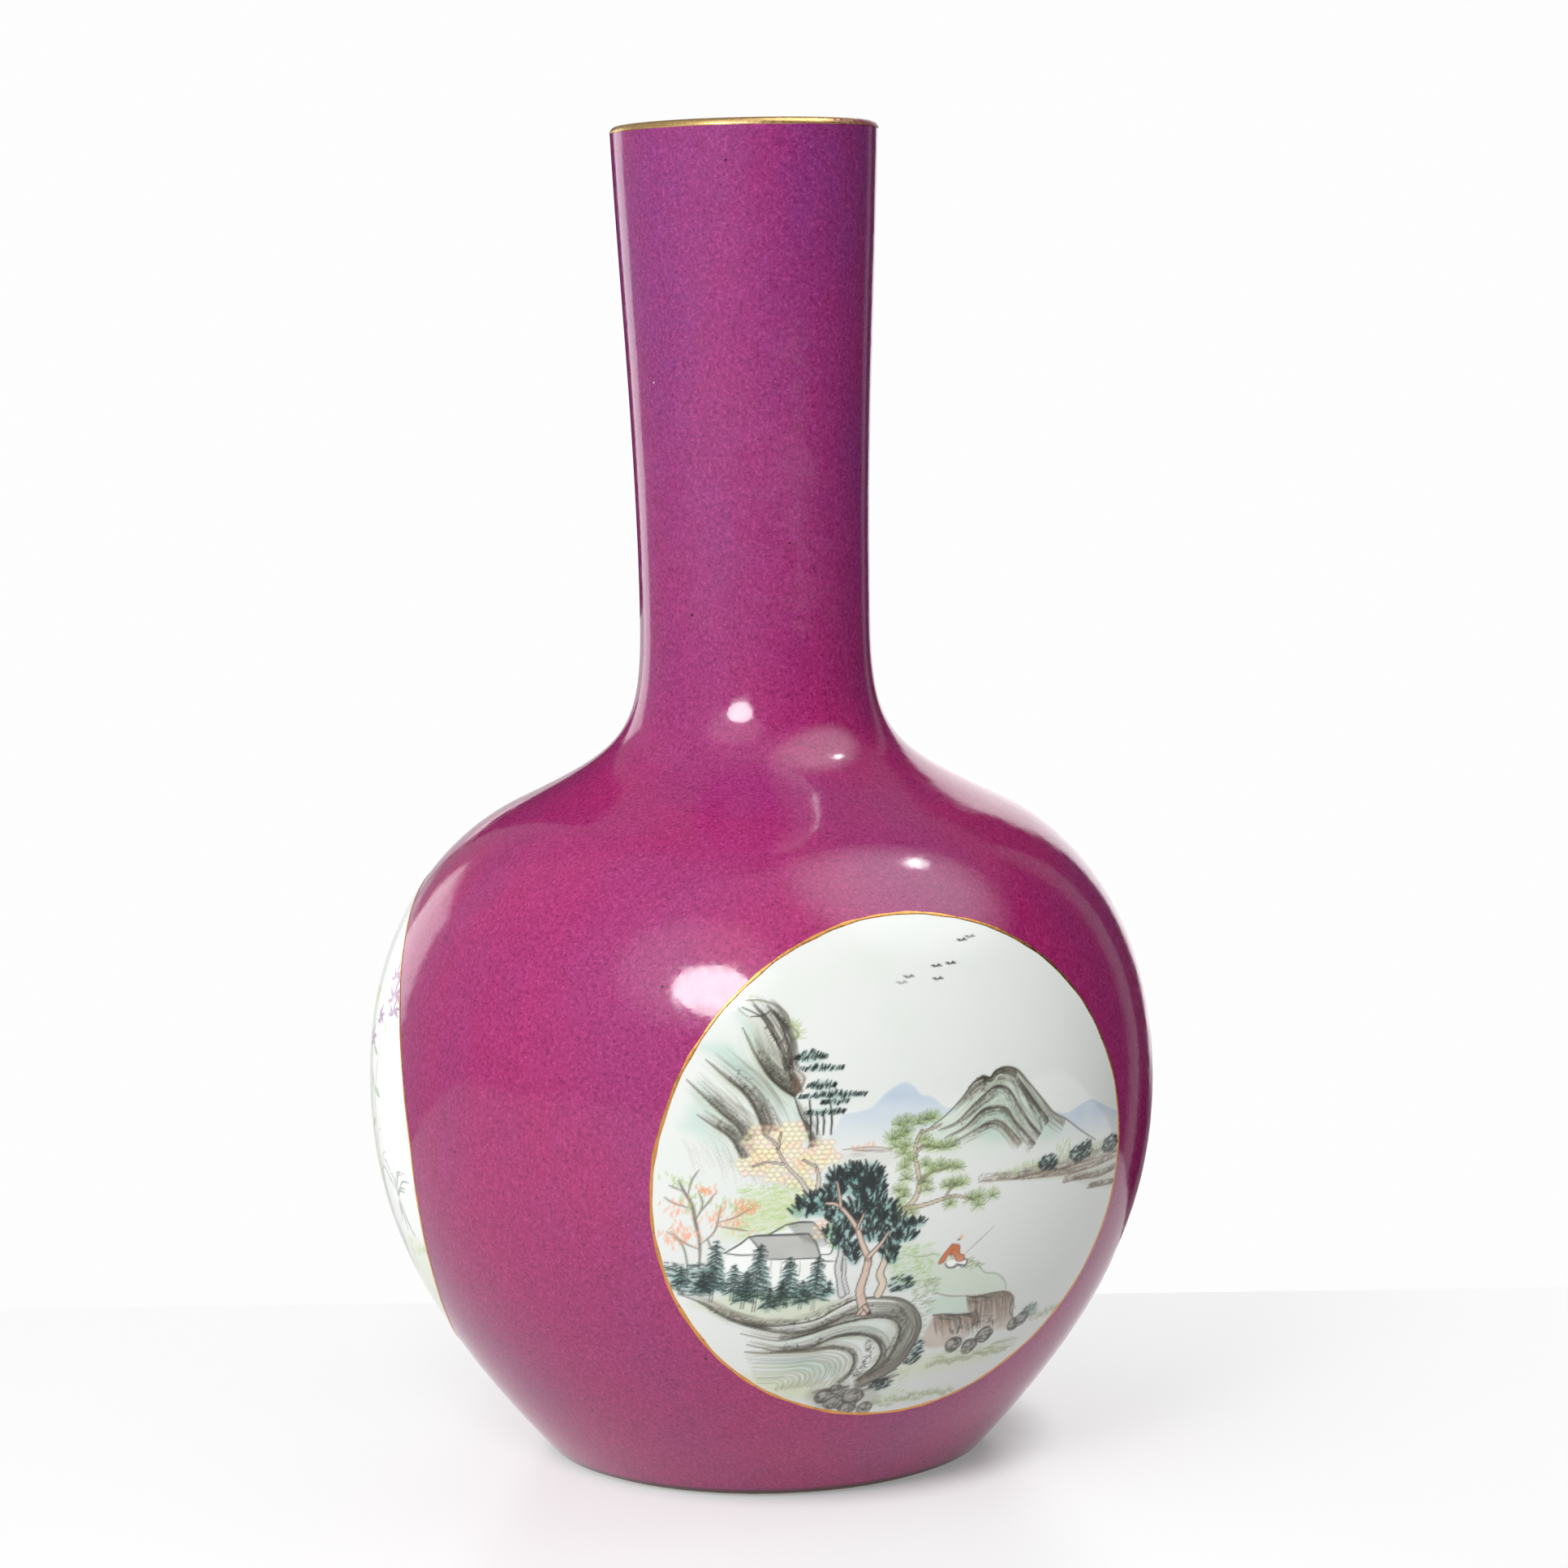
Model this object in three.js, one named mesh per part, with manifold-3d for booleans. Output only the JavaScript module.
// A porcelain bottle vase with a globular body and a tall cylindrical neck.
// The body is built as such vases are: a turned foot ring, a base disc, two thrown bowls and a thrown neck,
// luted together with slip, then coated with ruby enamel around three round reserves edged in gold.
// Millimetres, +Z up. The origin is the centre of the resting plane, and one reserve faces -Y.
import * as THREE from "three";
import { mergeVertices } from "three/addons/utils/BufferGeometryUtils.js";
import Module from "manifold-3d";

const wasm = await Module();
wasm.setup();

// ---- Driving dimensions ------------------------------------------------------------------------------------

const HEIGHT = 400;

// The outer surface is four arcs, each leaving its ends at the given distance along the tangent.
// lean is the tangent's angle from vertical, positive where the wall opens out going up.
const FOOT = { radius: 65.7, height: 0, lean: 42.5, up: 61.8 };
const BELLY = { radius: 119.4, height: 114.5, lean: 0, down: 37.4, up: 44.9 };
const SHOULDER = { radius: 73.9, height: 198, lean: -64.7, down: 26.6, up: 37.6 };
const WAIST = { radius: 34.9, height: 254, lean: 0, down: 35.9, up: 55.6 };
const MOUTH = { radius: 40.1, height: HEIGHT, lean: 1.9, down: 49 };

// The neck was luted on slightly out of true: above BEND_START it turns by NECK_LEAN over BEND_LENGTH.
const NECK_LEAN = 0.54;
const NECK_LEAN_HEADING = 156.9;
const BEND_START = 235;
const BEND_LENGTH = 50;

// Coats, measured inwards from the outer surface.
const GAP = 0.3;
const ENAMEL_THICKNESS = 0.5;
const PANEL_SET_BACK = 0.1;
const PORCELAIN_DEPTH = ENAMEL_THICKNESS + GAP;

// Depth of the inner wall below the outer surface, at the foot, the belly, the waist and the mouth.
const WALL = { foot: 9, belly: 6.2, waist: 5, mouth: 4.2 };

// Foot ring and base.
const RING_INNER_RADIUS = 57;
const RING_REST_RADIUS = 64;
const BASE_RADIUS = 62;

// Mouth rim.
const GILT_THICKNESS = 0.4;

// Round reserves: a circle seen along the radius through its centre.
const RESERVE_RADIUS = 73;
const RESERVE_HEIGHT = 102.7;
const RESERVE_HEADINGS = { front: -90, left: 150, right: 30 };
const GILT_LINE_WIDTH = 1.2;

// Slip beads over the luted joints, on the inside.
const SEAM_BEAD = 1.8;
const BASE_FILLET = 9;

const SEGMENTS = 36;
const RESERVE_SEGMENTS = 48;

// ---- Finishes ----------------------------------------------------------------------------------------------

const finish = (color, roughness, metalness = 0) =>
  new THREE.MeshStandardMaterial({ color, roughness, metalness });
const porcelain = finish(0xeef0ec, 0.12);
const biscuit = finish(0xcdbfae, 0.75);
const slip = finish(0xe6e4dc, 0.3);
const ruby = finish(0xa02c6a, 0.18);
const reserveGlaze = finish(0xe9eeea, 0.08);
const gold = finish(0xd09a48, 0.3, 1);

// ---- Outline -----------------------------------------------------------------------------------------------

const radians = THREE.MathUtils.degToRad;

// The point at a distance along the tangent of an outline node, upwards if the distance is positive.
function handle(node, distance) {
  const angle = radians(node.lean);
  const x = node.radius + distance * Math.sin(angle);
  const y = node.height + distance * Math.cos(angle);
  return new THREE.Vector2(x, y);
}

function arc(low, high) {
  return new THREE.CubicBezierCurve(
    handle(low, 0),
    handle(low, low.up),
    handle(high, -high.down),
    handle(high, 0),
  );
}

// The shares of each arc at which the outline has a station. Joints and edges fall on stations.
const arcs = [
  { curve: arc(FOOT, BELLY), shares: [0.012, 0.0625, 0.19, 0.35, 0.53, 0.75, 1] },
  { curve: arc(BELLY, SHOULDER), shares: [0.12, 0.3, 0.48, 0.7, 1] },
  { curve: arc(SHOULDER, WAIST), shares: [0.26, 0.46, 0.6, 0.78, 1] },
  { curve: arc(WAIST, MOUTH), shares: [0.45, 0.978] },
];
const stations = arcs.flatMap(({ curve, shares }) =>
  shares.map((share) => {
    const tangent = curve.getTangent(share);
    return { point: curve.getPoint(share), outward: new THREE.Vector2(tangent.y, -tangent.x) };
  }),
);
const EDGE = 0; // lower edge of the enamel, at the top of the foot's bevel
const RING_TOP = 1; // foot ring below, bowl above
const BELLY_JOINT = 6;
const NECK_JOINT = 14;
const GILT_EDGE = stations.length - 1;

// A point of the outline moved inwards by depth.
function inset(index, depth) {
  const { point, outward } = stations[index];
  return point.clone().addScaledVector(outward, -depth);
}

// Wall depth at a station: eased between the values at the foot, belly, waist and mouth.
function wallDepth(index) {
  const z = stations[index].point.y;
  const ease = THREE.MathUtils.smoothstep;
  const { lerp } = THREE.MathUtils;
  if (z < BELLY.height) return lerp(WALL.foot, WALL.belly, ease(z, 0, BELLY.height));
  if (z < WAIST.height) {
    return lerp(WALL.belly, WALL.waist, ease(z, BELLY.height, WAIST.height));
  }
  return lerp(WALL.waist, WALL.mouth, ease(z, WAIST.height, HEIGHT));
}

const outerWall = (index) => inset(index, PORCELAIN_DEPTH);
const innerWall = (index) => inset(index, wallDepth(index));
const at = (radius, height) => new THREE.Vector2(radius, height);

// A run of stations from first to last, in either direction, mapped to profile points.
function run(first, last, place) {
  const step = Math.sign(last - first) || 1;
  const points = [];
  for (let i = first; i !== last + step; i += step) points.push(place(i));
  return points;
}

// ---- Solids ------------------------------------------------------------------------------------------------

// A closed profile, counter-clockwise with radius to the right, turned about the Z axis.
function revolve(profile) {
  const outline = [...profile, profile[0]];
  return new THREE.LatheGeometry(outline, SEGMENTS).rotateX(Math.PI / 2);
}

// A layer that follows the outline between two stations, from depth near to depth far.
function layer(first, last, near, far) {
  return revolve([
    ...run(first, last, (i) => inset(i, near)),
    ...run(last, first, (i) => inset(i, far)),
  ]);
}

function solid(geometry) {
  const bare = new THREE.BufferGeometry();
  bare.setAttribute("position", geometry.getAttribute("position"));
  bare.setIndex(geometry.index);
  const merged = mergeVertices(bare, 1e-4);
  const vertProperties = merged.getAttribute("position").array;
  const triVerts = new Uint32Array(merged.index.array);
  return new wasm.Manifold(new wasm.Mesh({ numProp: 3, vertProperties, triVerts }));
}

function geometryOf(manifold) {
  const { vertProperties, triVerts } = manifold.getMesh();
  const geometry = new THREE.BufferGeometry();
  geometry.setAttribute("position", new THREE.BufferAttribute(vertProperties, 3));
  return geometry.setIndex(new THREE.BufferAttribute(triVerts, 1));
}

// The space of a reserve: a cylinder along the radius at a heading, from the axis outwards.
function reserveCutter(heading, radius) {
  const length = BELLY.radius * 1.2;
  const cutter = new THREE.CylinderGeometry(radius, radius, length, RESERVE_SEGMENTS)
    .translate(0, length / 2, 0)
    .rotateZ(radians(heading - 90))
    .translate(0, 0, RESERVE_HEIGHT);
  return solid(cutter);
}

// The neck's lean, as a bend of everything above BEND_START.
function bend(geometry) {
  const angle = radians(NECK_LEAN);
  const along = new THREE.Vector2(1, 0).rotateAround(at(0, 0), radians(NECK_LEAN_HEADING));
  const position = geometry.getAttribute("position");
  for (let i = 0; i < position.count; i++) {
    const z = position.getZ(i);
    if (z <= BEND_START) continue;
    const share = Math.min(1, (z - BEND_START) / BEND_LENGTH);
    const slope = angle * (3 * share ** 2 - 2 * share ** 3);
    const past = Math.max(0, z - BEND_START - BEND_LENGTH);
    const shift = angle * (BEND_LENGTH * (share ** 3 - share ** 4 / 2) + past);
    const side = position.getX(i) * along.x + position.getY(i) * along.y;
    position.setX(i, position.getX(i) + shift * along.x);
    position.setY(i, position.getY(i) + shift * along.y);
    position.setZ(i, z - slope * side);
  }
  return geometry;
}

// ---- Porcelain body ----------------------------------------------------------------------------------------

const vase = new THREE.Group();

function add(name, geometry, material) {
  const mesh = new THREE.Mesh(bend(geometry), material);
  mesh.name = name;
  vase.add(mesh);
}

const ringTop = outerWall(RING_TOP).y;
const baseTop = innerWall(RING_TOP);

add(
  "foot_ring",
  revolve([
    at(RING_INNER_RADIUS, 0),
    at(RING_REST_RADIUS, 0),
    outerWall(EDGE),
    outerWall(RING_TOP),
    at(RING_INNER_RADIUS, ringTop),
  ]),
  biscuit,
);

add(
  "base_disc",
  revolve([at(0, ringTop), at(BASE_RADIUS, ringTop), baseTop, at(0, baseTop.y)]),
  porcelain,
);

add(
  "lower_bowl",
  revolve([
    ...run(RING_TOP, BELLY_JOINT, outerWall),
    ...run(BELLY_JOINT, RING_TOP, innerWall),
    at(BASE_RADIUS, ringTop),
  ]),
  porcelain,
);

add(
  "upper_bowl",
  revolve([
    ...run(BELLY_JOINT, NECK_JOINT, outerWall),
    ...run(NECK_JOINT, BELLY_JOINT, innerWall),
  ]),
  porcelain,
);

// The lip is a half round. Its centre lies half the wall in from the outer surface.
const lipRadius = WALL.mouth / 2;
const lipCentre = at(MOUTH.radius - lipRadius, HEIGHT - lipRadius);
const LIP_STEPS = 4;

// Points round the lip at a distance from its centre, from the outside (0 degrees) to the inside (180).
function lip(radius, from = 0, to = 180) {
  const points = [];
  for (let i = 0; i <= LIP_STEPS; i++) {
    const angle = radians(THREE.MathUtils.lerp(from, to, i / LIP_STEPS));
    points.push(at(lipCentre.x + radius * Math.cos(angle), lipCentre.y + radius * Math.sin(angle)));
  }
  return points;
}

const lipInPorcelain = lipRadius - GILT_THICKNESS - GAP;
const rimFoot = stations[GILT_EDGE].point.y + GAP;
add(
  "neck",
  revolve([
    ...run(NECK_JOINT, GILT_EDGE, outerWall),
    ...lip(lipInPorcelain),
    at(lipCentre.x - lipInPorcelain, rimFoot),
    ...run(GILT_EDGE, NECK_JOINT, innerWall),
  ]),
  porcelain,
);

// ---- Slip over the joints ----------------------------------------------------------------------------------

// A bead inside the wall, one station either side of a joint.
function bead(joint) {
  const crest = inset(joint, wallDepth(joint) + SEAM_BEAD);
  return revolve([...run(joint - 1, joint + 1, innerWall), crest]);
}
add("belly_seam", bead(BELLY_JOINT), slip);
add("neck_seam", bead(NECK_JOINT), slip);

// A hollow fillet where the bowl's inner wall rises from the base.
const filletTop = innerWall(RING_TOP + 1);
const filletHollow = at(baseTop.x - BASE_FILLET * 0.1, baseTop.y + BASE_FILLET * 0.25);
add(
  "base_seam",
  revolve([at(baseTop.x - BASE_FILLET, baseTop.y), baseTop, filletTop, filletHollow]),
  slip,
);

// ---- Enamel, reserves and gilding --------------------------------------------------------------------------

const lineInner = RESERVE_RADIUS - GILT_LINE_WIDTH / 2;
const lineOuter = RESERVE_RADIUS + GILT_LINE_WIDTH / 2;

let ground = solid(layer(EDGE, GILT_EDGE, 0, ENAMEL_THICKNESS));
const panelCoat = solid(layer(RING_TOP, NECK_JOINT, PANEL_SET_BACK, ENAMEL_THICKNESS));
const lineCoat = solid(layer(RING_TOP, NECK_JOINT, 0, ENAMEL_THICKNESS));

for (const [side, heading] of Object.entries(RESERVE_HEADINGS)) {
  ground = ground.subtract(reserveCutter(heading, lineOuter + GAP));
  const panel = panelCoat.intersect(reserveCutter(heading, lineInner - GAP));
  const ring = reserveCutter(heading, lineOuter).subtract(reserveCutter(heading, lineInner));
  add(`reserve_panel_${side}`, geometryOf(panel), reserveGlaze);
  add(`gilt_line_${side}`, geometryOf(lineCoat.intersect(ring)), gold);
}
add("ruby_ground", geometryOf(ground), ruby);

// The rim's gilding: a cap over the lip, down to the enamel outside and a little way down inside.
const insideFoot = rimFoot + GAP;
add(
  "gilt_rim",
  revolve([
    at(lipCentre.x + lipRadius - GILT_THICKNESS, rimFoot),
    at(lipCentre.x + lipRadius, rimFoot),
    ...lip(lipRadius),
    at(lipCentre.x - lipRadius, insideFoot),
    at(lipCentre.x - lipRadius + GILT_THICKNESS, insideFoot),
    ...lip(lipRadius - GILT_THICKNESS, 180, 0),
  ]),
  gold,
);

export default vase;
